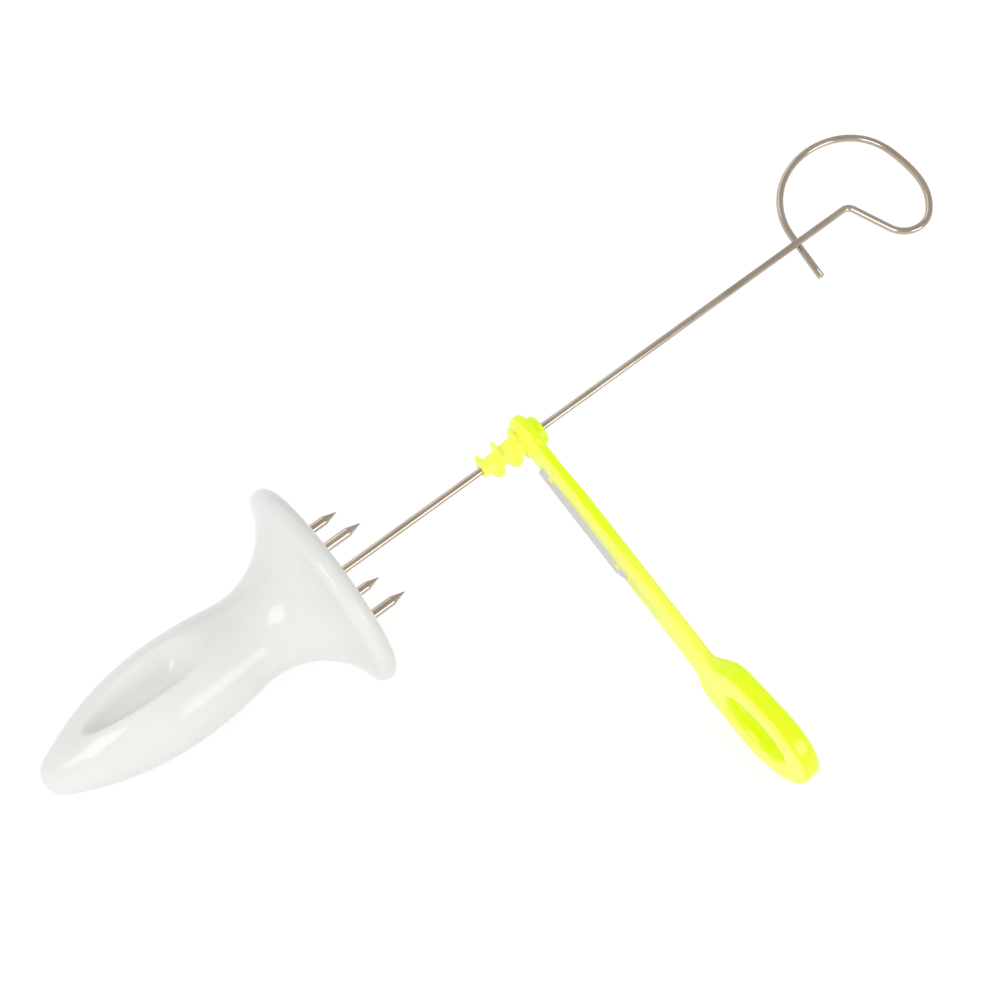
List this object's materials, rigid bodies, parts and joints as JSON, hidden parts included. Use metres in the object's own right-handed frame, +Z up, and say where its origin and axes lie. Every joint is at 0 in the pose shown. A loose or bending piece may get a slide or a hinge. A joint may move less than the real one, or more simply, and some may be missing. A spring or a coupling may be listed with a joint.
{
  "type": "tornado potato cutter",
  "caption": "Hand-cranked spiral potato cutter: a holder with prongs and a looped wire skewer, on which a finger-ring arm with a blade and a feed screw turns.",
  "frame": {"origin": "bottom centre of the tool's bounding box, on the table it lies on", "axes": "+X points from the holder towards the skewer's loop, +Z is up; the cutter's arm lies towards -Y. The tool rests on the flange's rim, the back of the grip and the finger ring."},
  "size_m": [0.2766, 0.1352, 0.0886],
  "materials": {
    "white_plastic": "glossy, injection moulded",
    "steel_wire": "bright drawn stainless wire",
    "neon_plastic": "glossy, fluorescent, injection moulded",
    "blade_steel": "satin strip with a ground edge"
  },
  "bodies": {
    "holder": {"holder_handle": "white_plastic", "holder_prongs": "steel_wire"},
    "skewer": {"skewer": "steel_wire"},
    "cutter": {"cutter_frame": "neon_plastic", "cutter_blade": "blade_steel", "feed_screw": "neon_plastic"}
  },
  "joints": [
    {"name": "skewer_pull", "type": "slide", "parent": "holder", "child": "skewer", "axis": [0.9616, 0, 0.2743], "range_m": [0, 0.0455]},
    {"name": "cutter_spin", "type": "hinge", "parent": "skewer", "child": "cutter", "pos_m": [0.00278, 0.03849, 0.0459], "axis": [0.9616, 0, 0.2743], "continuous": true}
  ]
}
